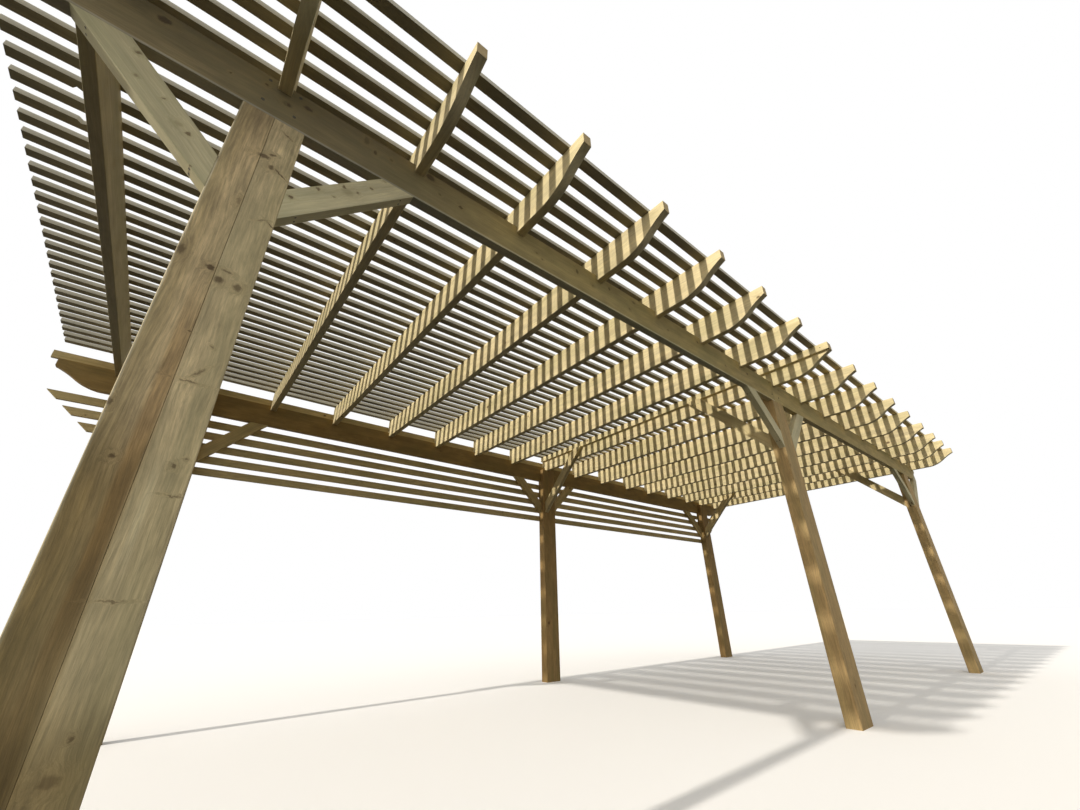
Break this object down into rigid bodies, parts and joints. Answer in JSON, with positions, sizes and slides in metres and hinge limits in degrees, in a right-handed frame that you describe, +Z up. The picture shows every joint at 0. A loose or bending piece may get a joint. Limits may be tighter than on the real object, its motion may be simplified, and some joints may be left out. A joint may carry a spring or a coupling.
{
  "type": "wooden pergola",
  "caption": "Long open wooden pergola with braced posts, notched rafters with shaped tails, close roof battens and a slatted screen high along the back.",
  "frame": {"origin": "on the ground, under the middle of the whole outline", "axes": "+X along the pergola toward its far end, -Y the open front with the shaped rafter tails, +Y the screened back, +Z up"},
  "size_m": [9.49, 3.794, 2.752],
  "materials": {
    "post_timber": "rough-sawn pressure-treated softwood",
    "beam_timber": "planed pressure-treated softwood, eased edges",
    "rafter_timber": "planed pressure-treated softwood, eased edges",
    "brace_timber": "planed pressure-treated softwood",
    "batten_timber": "sawn softwood batten",
    "slat_timber": "sawn pressure-treated softwood slat"
  },
  "bodies": {
    "root": {"post_front_near": "post_timber", "post_back_near": "post_timber", "post_front_middle": "post_timber", "post_back_middle": "post_timber", "post_front_far": "post_timber", "post_back_far": "post_timber", "beam_front_near": "beam_timber", "beam_front_far": "beam_timber", "beam_back_near": "beam_timber", "beam_back_far": "beam_timber", "rafter_01": "rafter_timber", "rafter_02": "rafter_timber", "rafter_03": "rafter_timber", "rafter_04": "rafter_timber", "rafter_05": "rafter_timber", "rafter_06": "rafter_timber", "rafter_07": "rafter_timber", "rafter_08": "rafter_timber", "rafter_09": "rafter_timber", "rafter_10": "rafter_timber", "rafter_11": "rafter_timber", "rafter_12": "rafter_timber", "rafter_13": "rafter_timber", "rafter_14": "rafter_timber", "rafter_15": "rafter_timber", "rafter_16": "rafter_timber", "rafter_17": "rafter_timber", "rafter_side_strip": "rafter_timber", "knee_braces_front_near": "brace_timber", "knee_braces_front_middle": "brace_timber", "knee_braces_front_far": "brace_timber", "knee_braces_back_near": "brace_timber", "knee_braces_back_middle": "brace_timber", "knee_braces_back_far": "brace_timber", "cross_braces_near": "brace_timber", "cross_braces_middle": "brace_timber", "cross_braces_far": "brace_timber", "roof_battens_near": "batten_timber", "roof_battens_far": "batten_timber", "screen_slats_near": "slat_timber", "screen_slats_far": "slat_timber", "screen_top_slat_near": "slat_timber", "screen_top_slat_far": "slat_timber"}
  },
  "joints": []
}
